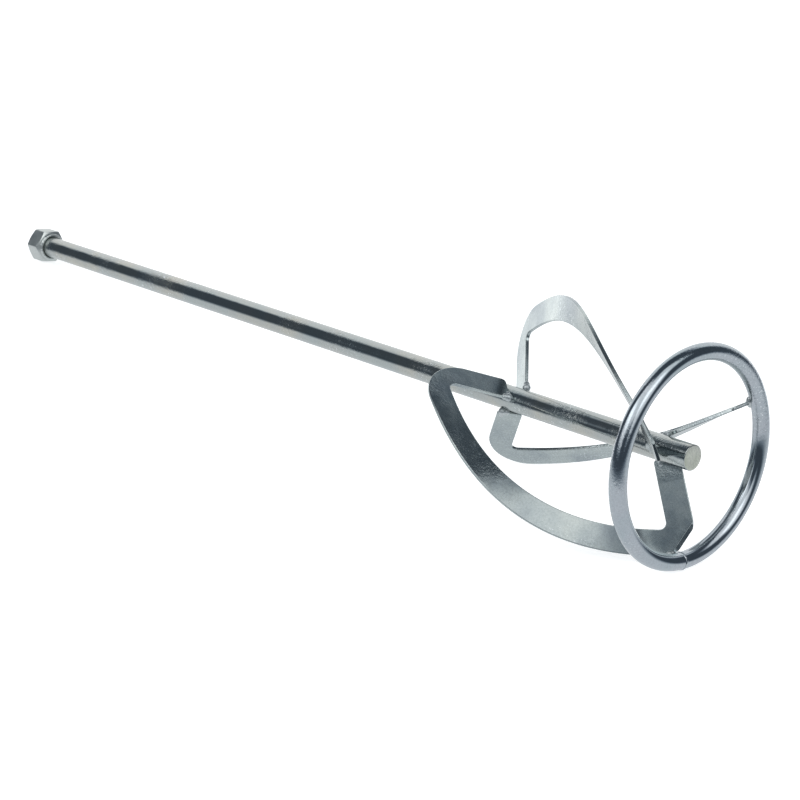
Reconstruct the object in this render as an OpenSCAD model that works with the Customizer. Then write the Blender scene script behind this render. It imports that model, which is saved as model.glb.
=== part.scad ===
// Mortar mixing paddle: a round steel shaft with a hexagon nut for the mixer's M14 spindle
// at one end, and three twisted C-shaped blades and a round wire ring at the other.
// Every piece is drawn about the shaft's axis, from the sawn end (z = 0) up to the nut.
// The whole tool is then laid down as it rests: on its ring, its nut and one blade.

/* [Shaft] */
// Diameter of the round bar
shaft_d = 14; // [14:0.5:16]
// Height of the nut's lower face above the sawn end
shaft_len = 583; // [400:1:700]
// Chamfer round the sawn end
shaft_chamfer = 0.4; // [0.2:0.1:1]

/* [Coupling nut] */
// Width across flats of the hexagon
nut_af = 21; // [20:0.5:24]
// Height of the nut
nut_h = 12.8; // [11:0.1:20]
// Core diameter of the M14 thread
thread_core_d = 11.84; // [11.8:0.02:12.2]
// Diameter of the countersinks at both mouths of the thread
countersink_d = 16.5; // [15.5:0.1:17]
// How far the chamfer reaches in from the flats
nut_bevel = 0.9; // [0.3:0.1:1.2]
// Direction of one corner of the hexagon
nut_turn = -4; // [-30:1:30]

/* [Ring] */
// Outer diameter of the ring
ring_d = 122; // [120:1:126]
// Diameter of the ring's wire
wire_d = 9.4; // [9:0.1:10]
// Height of the ring's middle above the sawn end
ring_z = 0.8; // [0:0.1:1]
// Direction of the butt joint in the wire
seam_turn = 263; // [258:0.5:263]
// Thickness of the weld in the butt joint
seam_w = 0.9; // [0.5:0.1:1.5]

/* [Blades] */
// Width of the strip
blade_w = 14; // [12:0.5:14]
// Thickness of the strip
blade_t = 2; // [1.5:0.1:2]
// Corner radius of the strip's middle at the shoulder
shoulder_r = 10.5; // [8:0.5:14]
// Corner radius of the strip's middle at the heel
heel_r = 10.5; // [8:0.5:12]
// Radius of the shoulder's outer corner, which is rounder than the strip's own bend
shoulder_outer_r = 22; // [18:0.5:24]
// Distance of the heel's chamfer inside the heel's corner point, on the face
heel_cut = 2.4; // [2.1:0.1:3.5]
// How much less the chamfer takes from the back, which bevels its edge
heel_bevel = 2; // [0:0.1:2]
// How much the feet are cut on the slant
foot_slant = 2; // [0:0.1:2.5]
// How far each blade's shoulder is turned from its even third, in degrees
shoulder_turn = [7, -2.5, -4.5];

/* [Welds] */
// Radius of the beads at the blades' feet
bead_r = 2.4; // [1.8:0.1:2.8]
// Where the main bead sits along each shoulder foot, from its inner corner to its outer one
shoulder_bead = [0.06, 0.02, 0.8];
// Radius of the beads between blade and ring
ring_bead_r = 2.3; // [1.8:0.1:2.8]

/* [Rest] */
// How far the tool is rolled about its shaft where it lies
roll = 14.5; // [14:0.1:14.6]

/* [Hidden] */

shaft_r = shaft_d / 2;
core_r = thread_core_d / 2;
sink_r = countersink_d / 2;
sink_h = sink_r - core_r;
total_len = shaft_len + nut_h;
ring_r = (ring_d - wire_d) / 2;
wire_r = wire_d / 2;

// corner points of the strip's middle line, for a blade whose heel points along -y
foot_hi = [6.4, 4.5, 131];
shoulder = [43.6, 5.2, 155];
pull_hi = [59, -42, 90.5];
pull_lo = [32.5, -60.5, 58];
heel = [-6.6, -46, 0];
foot_lo = [-5, -6, 20.4];
corner_n = 8;
arc_n = 32;

function unit(v) = v / norm(v);
function slerp(a, b, s) =
    let (om = acos(a * b))
    (sin((1 - s) * om) * a + sin(s * om) * b) / sin(om);
function turned(p, a) = [p.x * cos(a) - p.y * sin(a), p.x * sin(a) + p.y * cos(a), p.z];

// a point of the round corner at c, between the directions d1 and d2
function corner(c, d1, d2, r, s) =
    let (half = acos(d1 * d2) / 2)
    let (f = r / tan(half))
    let (mid = c + unit(d1 + d2) * r / sin(half))
    mid + r * slerp((c + d1 * f - mid) / r, (c + d2 * f - mid) / r, s);

dir_hi = unit(foot_hi - shoulder);
dir_out = unit(pull_hi - shoulder);
dir_in = unit(pull_lo - heel);
dir_lo = unit(foot_lo - heel);
face_hi = -unit(cross(dir_hi, dir_out));
face_lo = -unit(cross(dir_in, dir_lo));
arc_a = corner(shoulder, dir_hi, dir_out, shoulder_r, 1);
arc_b = corner(heel, dir_in, dir_lo, heel_r, 0);

function bezier(s) =
    pow(1 - s, 3) * arc_a + 3 * pow(1 - s, 2) * s * pull_hi
    + 3 * (1 - s) * s * s * pull_lo + pow(s, 3) * arc_b;
function bezier_dir(s) =
    unit(pow(1 - s, 2) * (pull_hi - arc_a) + 2 * (1 - s) * s * (pull_lo - pull_hi)
    + s * s * (arc_b - pull_lo));
function square_to(n, t) = unit(n - (n * t) * t);

// one station of the strip: middle, face direction, direction of its outer edge,
// and the outer half widths on its face and on its back
function station(c, t, n) = [c, n, cross(t, n), blade_w / 2, blade_w / 2];

// the shoulder's outer corner: a larger round that touches both legs' outer edges
shoulder_half = acos(dir_hi * dir_out) / 2;
leg_start = shoulder_r / tan(shoulder_half);
round_reach = (shoulder_outer_r - blade_w / 2) / tan(shoulder_half);
round_middle = shoulder
    + unit(dir_hi + dir_out) * (shoulder_outer_r - blade_w / 2) / sin(shoulder_half);
function round_limit(q) =
    let (d = q[0] - round_middle)
    let (along = d * q[2])
    min(q[3], sqrt(along * along - d * d + shoulder_outer_r * shoulder_outer_r) - along);
function rounded(q) = [q[0], q[1], q[2], round_limit(q), round_limit(q)];

// the heel's outer corner: a straight chamfer
heel_dir = unit(cross(dir_lo, face_lo) - dir_lo);
function heel_limit(q, depth) =
    let (lean = q[2] * heel_dir)
    lean < 0.2 ? q[3] : min(q[3], (-depth - (q[0] - heel) * heel_dir) / lean);
function cut(q) = [q[0], q[1], q[2], heel_limit(q, heel_cut), heel_limit(q, heel_cut - heel_bevel)];

stations = [
    station(foot_hi, -dir_hi, face_hi),
    for (share = [1, 0.5])
        rounded(station(shoulder + dir_hi * (leg_start + (round_reach - leg_start) * share),
                        -dir_hi, face_hi)),
    for (j = [0 : corner_n])
        let (s = j / corner_n)
        rounded(station(corner(shoulder, dir_hi, dir_out, shoulder_r, s),
                        slerp(-dir_hi, dir_out, s), face_hi)),
    for (j = [1 : arc_n - 1])
        let (s = j / arc_n)
        let (t = bezier_dir(s))
        let (n = square_to(slerp(face_hi, face_lo, s * s * (3 - 2 * s)), t))
        let (q = station(bezier(s), t, n))
        s >= 0.8 ? cut(q) : norm(bezier(s) - shoulder) < round_reach ? rounded(q) : q,
    for (j = [0 : corner_n])
        let (s = j / corner_n)
        cut(station(corner(heel, dir_in, dir_lo, heel_r, s),
                    slerp(-dir_in, dir_lo, s), face_lo)),
    station(foot_lo, dir_lo, face_lo)
];
count = len(stations);

// how far a station's outer (+1) and inner (-1) corners are moved along the leg
function slant_of(i) = i == 0 ? -dir_hi * foot_slant / 2
    : i == count - 1 ? -dir_lo * foot_slant / 2 : [0, 0, 0];
function outer_at(i, half) = stations[i][0] + stations[i][2] * half + slant_of(i);
function outer_face(i) = outer_at(i, stations[i][3]);
function outer_back(i) = outer_at(i, stations[i][4]);
function inner_edge(i) = stations[i][0] - stations[i][2] * blade_w / 2 - slant_of(i);
function half_face(i) = stations[i][1] * blade_t / 2;

// a point of the first blade carried to its place on blade k
function on_blade(p, k) = turned(p, 120 * k + shoulder_turn[k] * p.z / 150);

// the strip of blade k between two of its stations
module strip(k, first, last) {
    points = [for (i = [first : last])
        each [on_blade(inner_edge(i) + half_face(i), k), on_blade(inner_edge(i) - half_face(i), k),
              on_blade(outer_back(i) - half_face(i), k), on_blade(outer_face(i) + half_face(i), k)]];
    sides = [for (i = [0 : last - first - 1]) for (j = [0 : 3])
        let (a = 4 * i + j)
        let (b = 4 * i + (j + 1) % 4)
        each [[a, b, b + 4], [a, b + 4, a + 4]]];
    end = 4 * (last - first);
    ends = [[2, 1, 0], [3, 2, 0], [end, end + 1, end + 2], [end, end + 2, end + 3]];
    polyhedron(points = points, faces = concat(sides, ends), convexity = 6);
}

// the tool as it lies: ring and nut on the floor, nut end towards -x
nut_low = nut_af / sqrt(3) * cos(270 - (nut_turn + roll) - 240);
nut_touch = total_len - 1.2;
rise = ring_r - nut_low;
run = nut_touch - ring_z;
tilt = atan(rise / run) + asin(wire_r / norm([rise, run]));
axis_h = ring_r * cos(tilt) + wire_r + ring_z * sin(tilt);
x_max = ring_r * sin(tilt) + wire_r - ring_z * cos(tilt);
x_min = -total_len * cos(tilt) - nut_low * sin(tilt);
module lay() {
    translate([-(x_max + x_min) / 2, 0, axis_h])
        rotate([0, -tilt, 0])
            rotate([90, 0, -90])
                rotate([0, 0, roll])
                    children();
}

module bar() {
    cylinder(h = shaft_chamfer, r1 = shaft_r - shaft_chamfer, r2 = shaft_r, $fn = 96);
    translate([0, 0, shaft_chamfer])
        cylinder(h = shaft_len + sink_r - shaft_r - shaft_chamfer, r = shaft_r, $fn = 96);
    translate([0, 0, shaft_len + sink_r - shaft_r])
        cylinder(h = shaft_r - core_r, r1 = shaft_r, r2 = core_r, $fn = 96);
}

module torus() {
    rotate_extrude($fn = 120)
        translate([ring_r, 0])
            circle(r = wire_r, $fn = 48);
}

module at_seam() {
    rotate([0, 0, seam_turn])
        translate([ring_r, 0, ring_z])
            rotate([90, 0, 0])
                children();
}

module ball(p, r) {
    translate(p)
        rotate([35, 50, 0])
            sphere(r = r, $fn = 32);
}

module shaft() {
    color([0.66, 0.69, 0.71])
        lay()
            bar();
}

module coupling_nut() {
    corner_r = nut_af / sqrt(3);
    face_r = nut_af / 2 - nut_bevel;
    wide_r = corner_r + 0.6;
    bevel = (wide_r - face_r) * tan(30);
    color([0.62, 0.65, 0.67])
        lay()
            translate([0, 0, shaft_len])
                difference() {
                    intersection() {
                        rotate([0, 0, nut_turn])
                            cylinder(h = nut_h, r = corner_r, $fn = 6);
                        rotate_extrude($fn = 96)
                            polygon([[0, 0], [face_r, 0], [wide_r, bevel],
                                     [wide_r, nut_h - bevel], [face_r, nut_h], [0, nut_h]]);
                    }
                    translate([0, 0, -1])
                        cylinder(h = nut_h + 2, r = core_r, $fn = 96);
                    translate([0, 0, -1])
                        cylinder(h = sink_h + 1, r1 = sink_r + 1, r2 = core_r, $fn = 96);
                    translate([0, 0, nut_h - sink_h])
                        cylinder(h = sink_h + 1, r1 = core_r, r2 = sink_r + 1, $fn = 96);
                }
}

// the weld that fills the lower countersink and stands proud of the nut round the shaft
module coupling_weld() {
    root = shaft_len + sink_r - shaft_r;
    color([0.5, 0.52, 0.54])
        lay()
            rotate_extrude($fn = 96)
                polygon([[shaft_r, root], [shaft_r, shaft_len - 0.9],
                         [shaft_r + 0.6, shaft_len - 1.5], [shaft_r + 1.4, shaft_len - 1.4],
                         [shaft_r + 2.1, shaft_len - 0.8], [shaft_r + 2.3, shaft_len],
                         [sink_r, shaft_len]]);
}

module ring() {
    color([0.66, 0.69, 0.72])
        lay()
            difference() {
                translate([0, 0, ring_z])
                    torus();
                at_seam()
                    translate([0, 0, -seam_w / 2])
                        cylinder(h = seam_w, r = wire_r + 2, $fn = 48);
            }
}

module ring_seam_weld() {
    color([0.78, 0.8, 0.82])
        lay()
            at_seam()
                translate([0, 0, -seam_w / 2])
                    cylinder(h = seam_w, r = wire_r + 0.25, $fn = 48);
}

module blade_piece(k) {
    color([0.6, 0.65, 0.68])
        lay()
            strip(k, 0, count - 1);
}

// a bead on the end of a foot: main blob at share s of the foot's end, with a tail each way
module foot_bead(k, i, leg, s) {
    first = i == 0 ? 0 : i - 1;
    a = inner_edge(i);
    b = outer_face(i);
    tail = s > 0.5 ? -0.2 : 0.2;
    color([0.52, 0.54, 0.56])
        lay()
            difference() {
                union() {
                    ball(on_blade(a + (b - a) * s, k), bead_r);
                    ball(on_blade(a + (b - a) * (s + tail), k), bead_r * 0.75);
                    ball(on_blade(a + (b - a) * s + leg * bead_r, k), bead_r * 0.7);
                }
                translate([0, 0, -1])
                    cylinder(h = shaft_len, r = shaft_r, $fn = 96);
                strip(k, first, first + 1);
            }
}

module shoulder_weld(k) {
    foot_bead(k, 0, -dir_hi, shoulder_bead[k]);
}

module heel_weld(k) {
    foot_bead(k, count - 1, -dir_lo, 0.25);
}

// a bead on the ring's inner shoulder, under the heel of blade k
module ring_weld(k) {
    r = ring_r - wire_r * 0.72;
    z = ring_z + wire_r * 0.7;
    color([0.55, 0.57, 0.59])
        lay()
            difference() {
                union() {
                    ball(turned([r, 0, z], 120 * k - 91), ring_bead_r * 0.8);
                    ball(turned([r, 0, z], 120 * k - 93), ring_bead_r);
                    ball(turned([r, 0, z], 120 * k - 94.6), ring_bead_r * 0.74);
                }
                translate([0, 0, ring_z])
                    torus();
                strip(k, count - corner_n - 8, count - 2);
            }
}

shaft();
coupling_nut();
coupling_weld();
ring();
ring_seam_weld();
blade_piece(0);  // blade_1
blade_piece(1);  // blade_2
blade_piece(2);  // blade_3
shoulder_weld(0);  // shoulder_weld_1
shoulder_weld(1);  // shoulder_weld_2
shoulder_weld(2);  // shoulder_weld_3
heel_weld(0);  // heel_weld_1
heel_weld(1);  // heel_weld_2
heel_weld(2);  // heel_weld_3
ring_weld(0);  // ring_weld_1
ring_weld(1);  // ring_weld_2
ring_weld(2);  // ring_weld_3
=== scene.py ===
"""Mortar mixing paddle: the looks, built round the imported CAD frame."""

import math

import bmesh
import bpy
from mathutils import Matrix, Vector, noise


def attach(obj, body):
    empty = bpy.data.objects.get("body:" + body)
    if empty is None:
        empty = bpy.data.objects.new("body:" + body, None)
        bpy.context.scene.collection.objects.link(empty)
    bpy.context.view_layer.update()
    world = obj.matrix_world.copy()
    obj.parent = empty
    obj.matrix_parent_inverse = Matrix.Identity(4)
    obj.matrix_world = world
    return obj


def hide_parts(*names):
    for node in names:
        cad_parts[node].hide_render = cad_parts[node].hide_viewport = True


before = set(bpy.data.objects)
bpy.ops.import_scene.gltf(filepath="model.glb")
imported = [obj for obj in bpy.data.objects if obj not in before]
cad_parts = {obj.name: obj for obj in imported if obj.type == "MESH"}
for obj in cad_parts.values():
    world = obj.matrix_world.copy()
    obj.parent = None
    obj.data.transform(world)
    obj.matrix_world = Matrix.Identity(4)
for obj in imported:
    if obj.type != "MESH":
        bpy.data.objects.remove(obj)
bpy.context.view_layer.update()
MM = 0.001
BODY = "root"

# ---------------------------------------------------------------- sizes, in mm
SHAFT_R, SHAFT_LEN, CHAMFER = 7.0, 583.0, 0.4
NUT_AF, NUT_H, NUT_BEVEL, CORE_R, SINK_R, NUT_TURN = 21.0, 12.8, 0.9, 5.92, 8.25, -4.0
NUT_SLOPE = math.tan(math.radians(30))  # how steeply the nut's corners are bevelled
THREAD_MAJOR_R, PITCH = 7.0, 2.0
RING_R, WIRE_R, RING_Z, SEAM_TURN, SEAM_W = 56.3, 4.7, 0.8, 263.0, 0.9
STRIP_W, STRIP_T = 14.0, 2.0
SHOULDER_R, SHOULDER_OUTER_R, HEEL_R, FOOT_SLANT = 10.5, 22.0, 10.5, 2.0
HEEL_CUT, HEEL_BEVEL = 2.4, 2.0
SHOULDER_TURN = (7.0, -2.5, -4.5)
TURN_Z = 150  # the height above the sawn end at which a blade has its whole shoulder turn
THIRD = 120  # the angle from one blade to the next, in degrees
BEAD_R, SHOULDER_BEAD, RING_BEAD_R = 2.4, (0.06, 0.02, 0.8), 2.3
ROLL = 14.5
LEAN = 4.77  # how far the resting shaft leans from level, in degrees
TOTAL = SHAFT_LEN + NUT_H
NUT_TOUCH = TOTAL - 1.2  # where the lean aims the nut's corner at the floor; its bevel leaves 0.02 mm

# the first blade: its feet, its two corners, and the pulls that shape the curve between them
FOOT_HI, SHOULDER = Vector((6.4, 4.5, 131)), Vector((43.6, 5.2, 155))
PULL_HI, PULL_LO = Vector((59, -42, 90.5)), Vector((32.5, -60.5, 58))
HEEL, FOOT_LO = Vector((-6.6, -46, 0)), Vector((-5, -6, 20.4))


def rest_matrix():
    """The tool's own axes (z along the shaft, from the sawn end) carried to where it lies."""
    low = NUT_AF / math.sqrt(3) * math.cos(math.radians(30 - NUT_TURN - ROLL))
    rise, run = RING_R - low, NUT_TOUCH - RING_Z
    tilt = math.atan(rise / run) + math.asin(WIRE_R / math.hypot(rise, run))
    height = RING_R * math.cos(tilt) + WIRE_R + RING_Z * math.sin(tilt)
    x_max = RING_R * math.sin(tilt) + WIRE_R - RING_Z * math.cos(tilt)
    x_min = -TOTAL * math.cos(tilt) - low * math.sin(tilt)
    return (
        Matrix.Translation((-(x_max + x_min) / 2, 0, height))
        @ Matrix.Rotation(-tilt, 4, "Y")
        @ Matrix.Rotation(-math.pi / 2, 4, "Z")
        @ Matrix.Rotation(math.pi / 2, 4, "X")
        @ Matrix.Rotation(math.radians(ROLL), 4, "Z")
    )


REST = rest_matrix()


def at_rest(p):
    """A point on the tool's own axes, in mm, carried to where it lies, in metres."""
    return (REST @ Vector(p)) * MM


# ---------------------------------------------------------------- mesh helpers
SHARP_EDGE = 32  # faces that meet at more than this, in degrees, show a crisp edge


def make_object(name, verts, faces, node, materials, face_material=None):
    """A smooth-shaded piece that rides on the tool and stands for one CAD node."""
    mesh = bpy.data.meshes.new(name)
    mesh.from_pydata([at_rest(v) for v in verts], [], faces)
    mesh.update()
    obj = bpy.data.objects.new(name, mesh)
    bpy.context.scene.collection.objects.link(obj)
    for m in materials:
        mesh.materials.append(m)
    bm = bmesh.new()
    bm.from_mesh(mesh)
    bmesh.ops.recalc_face_normals(bm, faces=bm.faces)
    bm.to_mesh(mesh)
    bm.free()
    for i, poly in enumerate(mesh.polygons):
        poly.use_smooth = True
        if face_material:
            poly.material_index = face_material(i)
    mesh.set_sharp_from_angle(angle=math.radians(SHARP_EDGE))
    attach(obj, BODY)
    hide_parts(node)


def grid_faces(rows, cols, close_rows=False):
    """Four-sided faces between rows of points, each row a closed loop."""
    faces = []
    for i in range(rows if close_rows else rows - 1):
        a, b = i * cols, (i + 1) % rows * cols
        for j in range(cols):
            k = (j + 1) % cols
            faces.append((a + j, a + k, b + k, b + j))
    return faces


def polar(r, angle, z):
    return Vector((r * math.cos(math.radians(angle)), r * math.sin(math.radians(angle)), z))


def lathe(profile, steps):
    """The points of a profile turned round the shaft's axis."""
    return [polar(r, 360 * j / steps, z) for r, z in profile for j in range(steps)]


# ---------------------------------------------------------------- the blade strip
def turned(p, angle):
    return Matrix.Rotation(math.radians(angle), 3, "Z") @ p


def slerp(a, b, s):
    """A direction turned evenly from a to b."""
    om = math.acos(max(-1, min(1, a.dot(b))))
    return (math.sin((1 - s) * om) * a + math.sin(s * om) * b) / math.sin(om)


def corner(c, d1, d2, r, s):
    """A point of the round of radius r in the corner at c, between directions d1 and d2."""
    half = math.acos(d1.dot(d2)) / 2
    f = r / math.tan(half)
    mid = c + (d1 + d2).normalized() * r / math.sin(half)
    return mid + r * slerp((c + d1 * f - mid) / r, (c + d2 * f - mid) / r, s)


DIR_HI, DIR_OUT = (FOOT_HI - SHOULDER).normalized(), (PULL_HI - SHOULDER).normalized()
DIR_IN, DIR_LO = (PULL_LO - HEEL).normalized(), (FOOT_LO - HEEL).normalized()
FACE_HI = -DIR_HI.cross(DIR_OUT).normalized()
FACE_LO = -DIR_IN.cross(DIR_LO).normalized()
ARC_A = corner(SHOULDER, DIR_HI, DIR_OUT, SHOULDER_R, 1)
ARC_B = corner(HEEL, DIR_IN, DIR_LO, HEEL_R, 0)
HALF_SHOULDER = math.acos(DIR_HI.dot(DIR_OUT)) / 2
LEG_START = SHOULDER_R / math.tan(HALF_SHOULDER)
ROUND_REACH = (SHOULDER_OUTER_R - STRIP_W / 2) / math.tan(HALF_SHOULDER)
ROUND_MIDDLE = (SHOULDER + (DIR_HI + DIR_OUT).normalized()
                * (SHOULDER_OUTER_R - STRIP_W / 2) / math.sin(HALF_SHOULDER))
HEEL_DIR = (DIR_LO.cross(FACE_LO) - DIR_LO).normalized()


def station(c, t, n, shoulder=False, heel=False, round_off=0.0, slant=0.0):
    """One cross-section: middle, face direction, direction of the outer edge, the outer half
    widths on the face and on the back, the inner half width, and which foot's slant it has."""
    w = t.cross(n)
    face = back = STRIP_W / 2
    if shoulder:
        off = c - ROUND_MIDDLE
        along = off.dot(w)
        face = back = min(face, math.sqrt(along**2 - off.dot(off) + SHOULDER_OUTER_R**2) - along)
    lean = w.dot(HEEL_DIR)
    if heel and lean > 0.2:
        inside = (c - HEEL).dot(HEEL_DIR)
        face = min(face, (-HEEL_CUT - inside) / lean)
        back = min(back, (HEEL_BEVEL - HEEL_CUT - inside) / lean)
    return c, n, w, (face - round_off, back - round_off), STRIP_W / 2 - round_off, slant


def strip_stations(corner_n=28, arc_n=110):
    end_r = 2.2
    ends = [(u * end_r, end_r - math.sqrt(max(0, end_r**2 - (end_r - u * end_r) ** 2)))
            for u in (0.0, 0.02, 0.08, 0.18, 0.32, 0.5, 0.72, 1.0)]
    out = [station(FOOT_HI - DIR_HI * u, -DIR_HI, FACE_HI, round_off=cut, slant=-1) for u, cut in ends]
    for j in range(8, 0, -1):
        reach = LEG_START + (ROUND_REACH - LEG_START) * j / 8
        out.append(station(SHOULDER + DIR_HI * reach, -DIR_HI, FACE_HI, shoulder=True))
    for j in range(corner_n + 1):
        s = j / corner_n
        out.append(station(corner(SHOULDER, DIR_HI, DIR_OUT, SHOULDER_R, s), slerp(-DIR_HI, DIR_OUT, s),
                           FACE_HI, shoulder=True))
    for j in range(1, arc_n):
        s = j / arc_n
        p = ((1 - s) ** 3 * ARC_A + 3 * (1 - s) ** 2 * s * PULL_HI
             + 3 * (1 - s) * s * s * PULL_LO + s**3 * ARC_B)
        t = ((1 - s) ** 2 * (PULL_HI - ARC_A) + 2 * (1 - s) * s * (PULL_LO - PULL_HI)
             + s * s * (ARC_B - PULL_LO)).normalized()
        n = slerp(FACE_HI, FACE_LO, s * s * (3 - 2 * s))
        n = (n - n.dot(t) * t).normalized()
        near = (p - SHOULDER).length < ROUND_REACH
        out.append(station(p, t, n, shoulder=near, heel=s > 0.8))
    for j in range(corner_n + 1):
        s = j / corner_n
        out.append(station(corner(HEEL, DIR_IN, DIR_LO, HEEL_R, s), slerp(-DIR_IN, DIR_LO, s),
                           FACE_LO, heel=True))
    out += [station(FOOT_LO - DIR_LO * u, DIR_LO, FACE_LO, round_off=cut, slant=1)
            for u, cut in reversed(ends)]
    return out


STATIONS = strip_stations()


def on_blade(p, k):
    """A point of the first blade's pattern, carried to blade k."""
    return turned(p, THIRD * k + SHOULDER_TURN[k] * p.z / TURN_Z)


def section(st, edge_r=0.4, steps=4):
    """The points of the strip's cross-section at one station, with its edges rounded."""
    c, n, w, outer, inner, slant = st
    leg = (-DIR_HI if slant < 0 else -DIR_LO) if slant else Vector((0, 0, 0))
    pts = []
    hold = 0.12  # extra points beside each rounding keep the faces' shading flat
    for sw, sn, a0 in ((1, 1, 0), (-1, 1, 90), (-1, -1, 180), (1, -1, 270)):
        half = inner if sw < 0 else outer[0] if sn > 0 else outer[1]
        corner_v, corner_h = sw * (half - edge_r), sn * (STRIP_T / 2 - edge_r)
        angles = [math.radians(a0 + 90 * i / steps) for i in range(steps + 1)]
        arc = [(corner_v + edge_r * math.cos(a), corner_h + edge_r * math.sin(a)) for a in angles]
        before = (arc[0][0] - hold * math.cos(angles[-1]), arc[0][1] - hold * math.sin(angles[-1]))
        after = (arc[-1][0] - hold * math.cos(angles[0]), arc[-1][1] - hold * math.sin(angles[0]))
        for v, h in [before] + arc + [after]:
            pts.append(c + w * v + n * h + leg * FOOT_SLANT * v / STRIP_W)
    return pts


def foot_point(share, end):
    """A point of a foot's end edge, from its inner corner (0) to its outer corner (1)."""
    c, t = (FOOT_HI, -DIR_HI) if end == "hi" else (FOOT_LO, DIR_LO)
    w = t.cross(FACE_HI if end == "hi" else FACE_LO)
    leg = -DIR_HI if end == "hi" else -DIR_LO
    v = (share - 0.5) * STRIP_W
    return c + w * v + leg * FOOT_SLANT * v / STRIP_W


# ---------------------------------------------------------------- materials
def noise_tex(tree, vector, scale, detail=3.0, rough=0.55, distortion=0.0):
    n = tree.nodes.new("ShaderNodeTexNoise")
    n.inputs["Scale"].default_value = scale
    n.inputs["Detail"].default_value = detail
    n.inputs["Roughness"].default_value = rough
    n.inputs["Distortion"].default_value = distortion
    tree.links.new(vector, n.inputs["Vector"])
    return n.outputs["Fac"]


def ramp(tree, fac, stops):
    r = tree.nodes.new("ShaderNodeValToRGB")
    els = r.color_ramp.elements
    while len(els) < len(stops):
        els.new(0.5)
    for el, (pos, col) in zip(els, stops):
        el.position = pos
        el.color = (*col, 1) if len(col) == 3 else col
    tree.links.new(fac, r.inputs["Fac"])
    return r.outputs["Color"]


def map_range(tree, value, lo, hi, to_lo, to_hi):
    m = tree.nodes.new("ShaderNodeMapRange")
    for key, v in (("From Min", lo), ("From Max", hi), ("To Min", to_lo), ("To Max", to_hi)):
        m.inputs[key].default_value = v
    tree.links.new(value, m.inputs["Value"])
    return m.outputs["Result"]


def bump(tree, height, strength, distance, normal=None):
    b = tree.nodes.new("ShaderNodeBump")
    b.inputs["Strength"].default_value = strength
    b.inputs["Distance"].default_value = distance
    tree.links.new(height, b.inputs["Height"])
    if normal:
        tree.links.new(normal, b.inputs["Normal"])
    return b.outputs["Normal"]


def math_node(tree, op, *values):
    n = tree.nodes.new("ShaderNodeMath")
    n.operation = op
    for i, v in enumerate(values):
        if isinstance(v, (int, float)):
            n.inputs[i].default_value = v
        else:
            tree.links.new(v, n.inputs[i])
    return n.outputs[0]


def mottled(t, coords, silver, tints, grain):
    """The plating's colour: cloudy between two tints, with a fine dark grain."""
    cloud = noise_tex(t, coords, 38, 3, 0.5)
    tint = ramp(t, cloud, [(0.3, tints[0]), (0.5, silver), (0.7, tints[1])])
    speck = noise_tex(t, coords, 900, 2, 0.6)
    dark = map_range(t, speck, 0.35, 0.6, 1 - grain, 1.0)
    mix = t.nodes.new("ShaderNodeMix")
    mix.data_type = "RGBA"
    mix.blend_type = "MULTIPLY"
    mix.inputs["Factor"].default_value = 1.0
    t.links.new(tint, mix.inputs["A"])
    t.links.new(dark, mix.inputs["B"])
    return mix.outputs["Result"]


def flecked(t, coords, color, patch):
    """The same colour with bright flecks over the pitted patches."""
    fleck = map_range(t, noise_tex(t, coords, 850, 2, 0.6), 0.60, 0.70, 0.0, 0.7)
    mix = t.nodes.new("ShaderNodeMix")
    mix.data_type = "RGBA"
    mix.inputs["B"].default_value = (0.86, 0.90, 0.92, 1)
    t.links.new(math_node(t, "MULTIPLY", patch, fleck), mix.inputs["Factor"])
    t.links.new(color, mix.inputs["A"])
    return mix.outputs["Result"]


def relief(t, coords, patch, pitted, streak):
    """The surface's bumps: fine grain, pits in the patches, and drawing lines along the bar."""
    normal = bump(t, noise_tex(t, coords, 1300, 2, 0.5), 0.10, 0.00004)
    normal = bump(t, noise_tex(t, coords, 260, 2, 0.5), 0.06, 0.0001, normal)
    if pitted:
        pits = math_node(t, "MULTIPLY", patch, noise_tex(t, coords, 620, 3, 0.7))
        normal = bump(t, pits, pitted, 0.0004, normal)
    if streak:
        mapping = t.nodes.new("ShaderNodeMapping")
        mapping.inputs["Rotation"].default_value = (0, math.radians(-LEAN), 0)
        mapping.inputs["Scale"].default_value = (0.04, 1, 1)
        t.links.new(coords, mapping.inputs["Vector"])
        normal = bump(t, noise_tex(t, mapping.outputs["Vector"], 1500, 2, 0.5), streak, 0.00005, normal)
    return normal


def zinc(name, silver, tints, rough, grain, streak=0.0, pitted=0.0):
    """Bright zinc plating with a mottled tint, an uneven gloss and a worked surface."""
    m = bpy.data.materials.new(name)
    m.use_nodes = True
    t = m.node_tree
    bsdf = t.nodes["Principled BSDF"]
    bsdf.inputs["Metallic"].default_value = 1.0
    coords = t.nodes.new("ShaderNodeTexCoord").outputs["Object"]
    patch = map_range(t, noise_tex(t, coords, 17, 3, 0.6), 0.46, 0.62, 0.0, 1.0)
    color = mottled(t, coords, silver, tints, grain)
    if pitted:
        color = flecked(t, coords, color, patch)
    gloss = map_range(t, noise_tex(t, coords, 160, 4), 0.3, 0.7, rough[0], rough[1])
    t.links.new(color, bsdf.inputs["Base Color"])
    t.links.new(gloss, bsdf.inputs["Roughness"])
    t.links.new(relief(t, coords, patch, pitted, streak), bsdf.inputs["Normal"])
    return m


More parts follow.
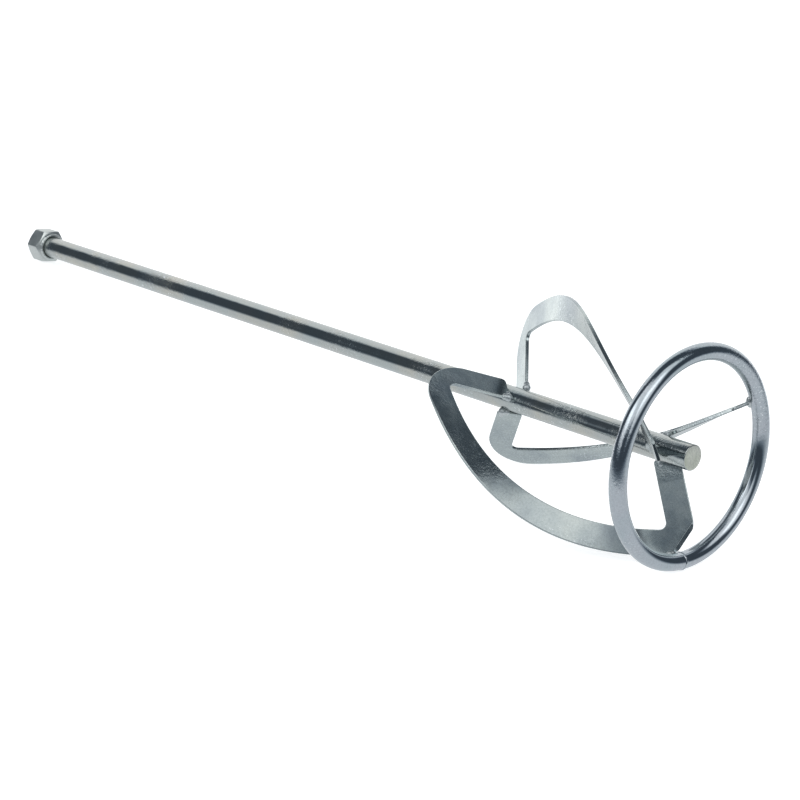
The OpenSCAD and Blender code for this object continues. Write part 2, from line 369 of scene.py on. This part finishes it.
BAR = zinc("zinc_bar", (0.48, 0.50, 0.49), ((0.45, 0.49, 0.49), (0.54, 0.53, 0.48)),
           (0.06, 0.12), 0.06, streak=0.05, pitted=0.7)
WIRE = zinc("zinc_wire", (0.46, 0.50, 0.54), ((0.42, 0.48, 0.51), (0.49, 0.51, 0.55)),
            (0.05, 0.11), 0.08, pitted=0.55)
SHEET = zinc("zinc_sheet", (0.46, 0.51, 0.515), ((0.34, 0.385, 0.41), (0.56, 0.605, 0.59)),
             (0.12, 0.22), 0.12, pitted=0.45)
NUT = zinc("zinc_nut", (0.62, 0.65, 0.64), ((0.50, 0.54, 0.53), (0.68, 0.70, 0.69)), (0.28, 0.42), 0.10)
WELD = zinc("zinc_weld", (0.60, 0.64, 0.65), ((0.48, 0.52, 0.54), (0.66, 0.68, 0.69)), (0.34, 0.46), 0.1)
SAWN = zinc("sawn_face", (0.80, 0.81, 0.72), ((0.60, 0.64, 0.52), (0.88, 0.88, 0.82)), (0.38, 0.5), 0.18)


# ---------------------------------------------------------------- shaft
def build_shaft():
    steps = 144
    root = SHAFT_LEN + SINK_R - SHAFT_R
    rounding = [(SHAFT_R - CHAMFER + CHAMFER * math.sin(a), CHAMFER - CHAMFER * math.cos(a))
                for a in (math.radians(15 * i) for i in range(7))]
    face = [(0.05, 0.0), (2.2, 0.0), (4.4, 0.0)]
    lengths = [(SHAFT_R, CHAMFER + (root - CHAMFER) * i / 60) for i in range(1, 61)]
    top = root + SHAFT_R - CORE_R
    profile = face + rounding + lengths + [(CORE_R, top), (0.05, top)]
    faces = grid_faces(len(profile), steps)
    faces += [tuple(range(steps))[::-1], tuple((len(profile) - 1) * steps + j for j in range(steps))]
    sawn = {j for j in range(3 * steps)} | {len(faces) - 2}
    make_object("shaft_bar", lathe(profile, steps), faces, "shaft", [BAR, SAWN],
                lambda i: 1 if i in sawn else 0)


# ---------------------------------------------------------------- nut
def hexagon(round_r=1.1, steps=8, per_side=10):
    """The hexagon's outline with slightly rounded corners, walked once round."""
    pts = []
    inner = NUT_AF / 2 - round_r
    for side in range(6):
        mid = 60 * side + 30
        a = polar(inner / math.cos(math.radians(30)), 60 * side + 60, 0)
        b = polar(inner / math.cos(math.radians(30)), 60 * side, 0)
        out = polar(round_r, mid, 0)
        for i in range(per_side + 1):
            pts.append(b + (a - b) * i / per_side + out)
        for i in range(1, steps):
            pts.append(a + polar(round_r, mid + 60 * i / steps, 0))
    return [turned(p, NUT_TURN) for p in pts]


def nut_rows(outline, mouth):
    """Rings of points over the nut's outside, from one mouth over the flats to the other."""
    face_r = NUT_AF / 2 - NUT_BEVEL
    rows = []

    def ring_at(r, z):
        rows.append([Vector((p.x, p.y, 0)).normalized() * r + Vector((0, 0, z)) for p in outline])

    def bevel(fraction, top):
        row = []
        for p in outline:
            r = face_r + (p.length - face_r) * fraction
            z = max(0.0, (r - face_r) * NUT_SLOPE)
            row.append(p.normalized() * r + Vector((0, 0, NUT_H - z if top else z)))
        rows.append(row)

    def wall(z_share):
        row = []
        for p in outline:
            z0 = (p.length - face_r) * NUT_SLOPE
            row.append(p + Vector((0, 0, z0 + (NUT_H - 2 * z0) * z_share)))
        rows.append(row)

    for r, z in mouth + ((face_r, 0),):
        ring_at(r, z)
    for f in (0.35, 0.7, 0.97):
        bevel(f, False)
    for share in (0.02, 0.2, 0.4, 0.6, 0.8, 0.98):
        wall(share)
    for f in (0.97, 0.7, 0.35):
        bevel(f, True)
    for r, z in ((face_r, 0),) + mouth[::-1]:
        ring_at(r, NUT_H - z)
    return rows


def nut_thread(sink, steps=72):
    """The thread, a helical groove cut outwards from the core diameter: its points and faces."""
    start, height = sink + 0.1, NUT_H - sink - 1.0
    levels = int(height / PITCH * 8)
    verts = []
    for i in range(levels + 1):
        z = start + height * i / levels
        fade = max(0.2, min(1.0, (height - (z - start)) / 1.0))
        for j in range(steps):
            wave = (z / PITCH - j / steps) % 1.0
            depth = 1 - abs(2 * wave - 1)
            depth = min(1.0, max(0.0, depth * 1.35 - 0.15))
            verts.append(polar(CORE_R + (THREAD_MAJOR_R - CORE_R) * 0.85 * depth * fade,
                               360 * j / steps, z + SHAFT_LEN))
    return verts, grid_faces(levels + 1, steps)


def build_nut():
    """The hexagon with its bevelled corners and both mouths, and the thread inside it."""
    outline = hexagon()
    sink = SINK_R - CORE_R
    mouth = ((CORE_R + 0.05, sink), (SINK_R - 0.15, 0.15), (SINK_R, 0.03), (SINK_R + 0.15, 0))
    rows = nut_rows(outline, mouth)
    verts = [v + Vector((0, 0, SHAFT_LEN)) for row in rows for v in row]
    faces = grid_faces(len(rows), len(outline))
    base = len(verts)
    thread_verts, thread_faces = nut_thread(sink)
    verts += thread_verts
    faces += [tuple(base + i for i in f) for f in thread_faces]
    make_object("hex_nut", verts, faces, "coupling_nut", [NUT])


# ---------------------------------------------------------------- ring
def build_ring():
    """The bent wire, open by the width of its seam."""
    around, across = 300, 40
    half = SEAM_W / 2 / RING_R * 180 / math.pi
    verts = []
    for i in range(around + 1):
        a = SEAM_TURN + half + (360 - 2 * half) * i / around
        for j in range(across):
            b = 2 * math.pi * j / across
            verts.append(polar(RING_R + WIRE_R * math.cos(b), a, RING_Z + WIRE_R * math.sin(b)))
    faces = grid_faces(around + 1, across)
    faces += [tuple(range(across)), tuple(around * across + j for j in range(across))[::-1]]
    make_object("wire_ring", verts, faces, "ring", [WIRE])


def build_seam():
    """The ripply butt weld that closes the ring, standing a little proud of the wire."""
    rows, across = 17, 56
    verts = []
    for i in range(rows):
        s = 2 * i / (rows - 1) - 1
        for j in range(across):
            b = 2 * math.pi * j / across
            lump = 0.14 * noise.noise(Vector((3 * math.cos(b), 3 * math.sin(b), 1.3 * s)))
            r = WIRE_R - 0.12 + (0.42 + lump) * math.sqrt(max(0.0, 1 - s * s))
            skew = 0.35 * noise.noise(Vector((2 * math.cos(b) + 7, 2 * math.sin(b), 0)))
            a = SEAM_TURN + (0.8 * s + skew) / RING_R * 180 / math.pi
            verts.append(polar(RING_R + r * math.cos(b), a, RING_Z + r * math.sin(b)))
    faces = grid_faces(rows, across)
    faces += [tuple(range(across)), tuple((rows - 1) * across + j for j in range(across))[::-1]]
    make_object("seam_bead", verts, faces, "ring_seam_weld", [WIRE])


# ---------------------------------------------------------------- blades
def build_blade(k):
    rows = [section(st) for st in STATIONS]
    cols = len(rows[0])
    verts = [on_blade(p, k) for row in rows for p in row]
    faces = grid_faces(len(rows), cols)
    last = (len(rows) - 1) * cols
    faces += [tuple(range(cols))[::-1], tuple(last + j for j in range(cols))]
    make_object(f"twisted_blade_{k + 1}", verts, faces, f"blade_{k + 1}", [SHEET])


# ---------------------------------------------------------------- weld beads
BEAD_VOXEL = 0.28


def build_bead(name, node, balls, seed, lumps=0.07):
    """Weld metal: overlapping balls melted into one lump, with a ripply skin."""
    bm = bmesh.new()
    for p, r in balls:
        bmesh.ops.create_icosphere(bm, subdivisions=3, radius=r * MM, matrix=Matrix.Translation(at_rest(p)))
    mesh = bpy.data.meshes.new(name)
    bm.to_mesh(mesh)
    bm.free()
    obj = bpy.data.objects.new(name, mesh)
    bpy.context.scene.collection.objects.link(obj)
    remesh = obj.modifiers.new("melt", "REMESH")
    remesh.mode = "VOXEL"
    remesh.voxel_size = BEAD_VOXEL * MM
    smooth = obj.modifiers.new("flow", "SMOOTH")
    smooth.iterations = 28
    deps = bpy.context.evaluated_depsgraph_get()
    melted = bpy.data.meshes.new_from_object(obj.evaluated_get(deps))
    obj.modifiers.clear()
    obj.data = melted
    offset = Vector((seed * 3.7, seed * 1.9, seed))
    for v in melted.vertices:
        n = noise.noise(v.co / MM * 0.4 + offset) + 0.3 * noise.noise(v.co / MM * 0.9 + offset)
        v.co += v.normal * n * lumps * MM
    for poly in melted.polygons:
        poly.use_smooth = True
    melted.materials.clear()
    melted.materials.append(WELD)
    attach(obj, BODY)
    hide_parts(node)


def build_foot_welds(k):
    """The beads that hold a blade's two feet to the shaft."""
    for end, first, node in (("hi", SHOULDER_BEAD[k], "shoulder"), ("lo", 0.25, "heel")):
        leg = -DIR_HI if end == "hi" else -DIR_LO
        tail = -0.2 if first > 0.5 else 0.2
        row = [(foot_point(first, end), BEAD_R), (foot_point(first + tail, end), BEAD_R * 0.7),
               (foot_point(first, end) + leg * BEAD_R, BEAD_R * 0.78)]
        build_bead(f"{node}_bead_{k + 1}", f"{node}_weld_{k + 1}",
                   [(on_blade(p, k), r) for p, r in row], seed=k + (5 if end == "hi" else 9))


def build_ring_weld(k):
    """The bead that holds a blade's heel to the inside of the ring."""
    r, z = RING_R - WIRE_R * 0.72, RING_Z + WIRE_R * 0.7
    row = ((-91, 0.8), (-93, 1.0), (-94.8, 0.74))
    balls = [(polar(r, THIRD * k + turn, z), RING_BEAD_R * share) for turn, share in row]
    build_bead(f"ring_bead_{k + 1}", f"ring_weld_{k + 1}", balls, seed=k + 14)


def build_coupling_weld():
    """A proud bead round the shaft, on the nut's lower face."""
    steps, rows = 150, 16
    verts = []
    for i in range(rows + 1):
        b = math.pi * (1 - i / rows)
        for j in range(steps):
            a = 2 * math.pi * j / steps
            lump = 0.16 * noise.noise(Vector((5 * math.cos(a), 5 * math.sin(a), 0.8 * b)))
            lump += 0.05 * math.sin(26 * a)
            r = SHAFT_R + 1.15 + (1.2 + lump) * math.cos(b)
            z = SHAFT_LEN + 0.1 - (1.5 + lump) * math.sin(b)
            verts.append(polar(r, 360 * j / steps, z))
    verts += lathe([(SINK_R - 0.6, SHAFT_LEN + 0.6)], steps)
    faces = grid_faces(rows + 2, steps, close_rows=True)
    make_object("coupling_bead", verts, faces, "coupling_weld", [NUT])


build_shaft()
build_nut()
build_coupling_weld()
build_ring()
build_seam()
for blade in range(3):
    build_blade(blade)
    build_foot_welds(blade)
    build_ring_weld(blade)


# ---------------------------------------------------------------- stage
FLOOR_GLOW = 0.68  # lifts the paper to the photograph's white


def white_paper():
    m = bpy.data.materials.new("floor_white")
    m.use_nodes = True
    bsdf = m.node_tree.nodes["Principled BSDF"]
    bsdf.inputs["Base Color"].default_value = (0.9, 0.9, 0.9, 1)
    bsdf.inputs["Roughness"].default_value = 0.9
    bsdf.inputs["Specular IOR Level"].default_value = 0.1
    bsdf.inputs["Emission Color"].default_value = (1, 1, 1, 1)
    bsdf.inputs["Emission Strength"].default_value = FLOOR_GLOW
    return m


def build_floor():
    """A sheet of white paper, left out of the metal's reflections, which are the studio's."""
    mesh = bpy.data.meshes.new("floor")
    s = 8.0
    mesh.from_pydata([(-s, -s, 0), (s, -s, 0), (s, s, 0), (-s, s, 0)], [], [(0, 1, 2, 3)])
    obj = bpy.data.objects.new("floor", mesh)
    bpy.context.scene.collection.objects.link(obj)
    mesh.materials.append(white_paper())
    obj.visible_glossy = False


# a plain product studio, laid out about the side where the photographer stands:
# one panel overhead, a softbox either side, a white sweep behind and a white table below
PHOTOGRAPHER = -45.0  # azimuth, in degrees
SOFT_EDGE = 18.0  # how wide each light's edge fades, in degrees
UNLIT_ROOM = 0.09


def soft_step(tree, value, start, end):
    m = tree.nodes.new("ShaderNodeMapRange")
    m.interpolation_type = "SMOOTHSTEP"
    m.inputs["From Min"].default_value = math.radians(start)
    m.inputs["From Max"].default_value = math.radians(end)
    tree.links.new(value, m.inputs["Value"])
    return m.outputs["Result"]


def window(tree, azimuth, elevation, level, low, high, middle=0.0, half=180.0):
    """A soft-edged bright patch of the studio, its sides given in degrees."""
    fade = SOFT_EDGE / 2
    glow = math_node(tree, "MULTIPLY", soft_step(tree, elevation, low - fade, low + fade),
                     soft_step(tree, elevation, high + fade, high - fade))
    if half < 180:
        off = math_node(tree, "SUBTRACT", azimuth, math.radians(middle))
        off = math_node(tree, "ABSOLUTE", math_node(tree, "WRAP", off, -math.pi, math.pi))
        glow = math_node(tree, "MULTIPLY", glow, soft_step(tree, off, half + fade, half - fade))
    return math_node(tree, "MULTIPLY", glow, level)


def build_world():
    """The studio that the metal reflects, and the plain white backdrop that the camera sees."""
    world = bpy.data.worlds.new("studio")
    bpy.context.scene.world = world
    world.use_nodes = True
    t = world.node_tree
    xyz = t.nodes.new("ShaderNodeSeparateXYZ")
    t.links.new(t.nodes.new("ShaderNodeTexCoord").outputs["Generated"], xyz.inputs[0])
    azimuth = math_node(t, "ARCTAN2", xyz.outputs["Y"], xyz.outputs["X"])
    elevation = math_node(t, "ARCSINE", xyz.outputs["Z"])
    lights = [
        window(t, azimuth, elevation, level=1.0, low=34, high=80, middle=PHOTOGRAPHER, half=90),
        window(t, azimuth, elevation, level=1.0, low=15, high=55, middle=PHOTOGRAPHER - 60, half=25),
        window(t, azimuth, elevation, level=1.0, low=15, high=55, middle=PHOTOGRAPHER + 40, half=25),
        window(t, azimuth, elevation, level=0.9, low=-20, high=45, middle=PHOTOGRAPHER + 180, half=50),
        window(t, azimuth, elevation, level=0.75, low=-110, high=-12),
    ]
    total = UNLIT_ROOM
    for light in lights:
        total = math_node(t, "ADD", light, total)
    lit = t.nodes["Background"]
    cool_shade = [(0.1, (0.80, 1.0, 1.22)), (0.5, (0.92, 1.0, 1.06)), (1.0, (0.98, 1.0, 1.01))]
    t.links.new(ramp(t, total, cool_shade), lit.inputs["Color"])
    t.links.new(total, lit.inputs["Strength"])
    backdrop = t.nodes.new("ShaderNodeBackground")
    backdrop.inputs["Color"].default_value = (1, 1, 1, 1)
    backdrop.inputs["Strength"].default_value = 1.0
    mix = t.nodes.new("ShaderNodeMixShader")
    t.links.new(t.nodes.new("ShaderNodeLightPath").outputs["Is Camera Ray"], mix.inputs[0])
    t.links.new(lit.outputs[0], mix.inputs[1])
    t.links.new(backdrop.outputs[0], mix.inputs[2])
    t.links.new(mix.outputs[0], t.nodes["World Output"].inputs["Surface"])


def build_camera():
    """The photograph's view: from the right, in front and above, with a slight roll."""
    az, el, roll = math.radians(46.7), math.radians(23.2), math.radians(2.1)
    aim, distance = Vector((0.144, -0.0685, 0.061)), 1.226
    forward = Vector((-math.sin(az) * math.cos(el), math.cos(az) * math.cos(el), -math.sin(el)))
    level = forward.cross(Vector((0, 0, 1))).normalized()
    upright = level.cross(forward)
    right = level * math.cos(roll) + upright * math.sin(roll)
    up = upright * math.cos(roll) - level * math.sin(roll)
    camera = bpy.data.cameras.new("camera")
    camera.lens = 102
    camera.sensor_width = 36
    obj = bpy.data.objects.new("camera", camera)
    bpy.context.scene.collection.objects.link(obj)
    rot = Matrix((right, up, -forward)).transposed().to_4x4()
    obj.matrix_world = Matrix.Translation(aim - forward * distance) @ rot
    bpy.context.scene.camera = obj


bpy.context.scene.view_settings.view_transform = "Standard"
build_floor()
build_world()
build_camera()
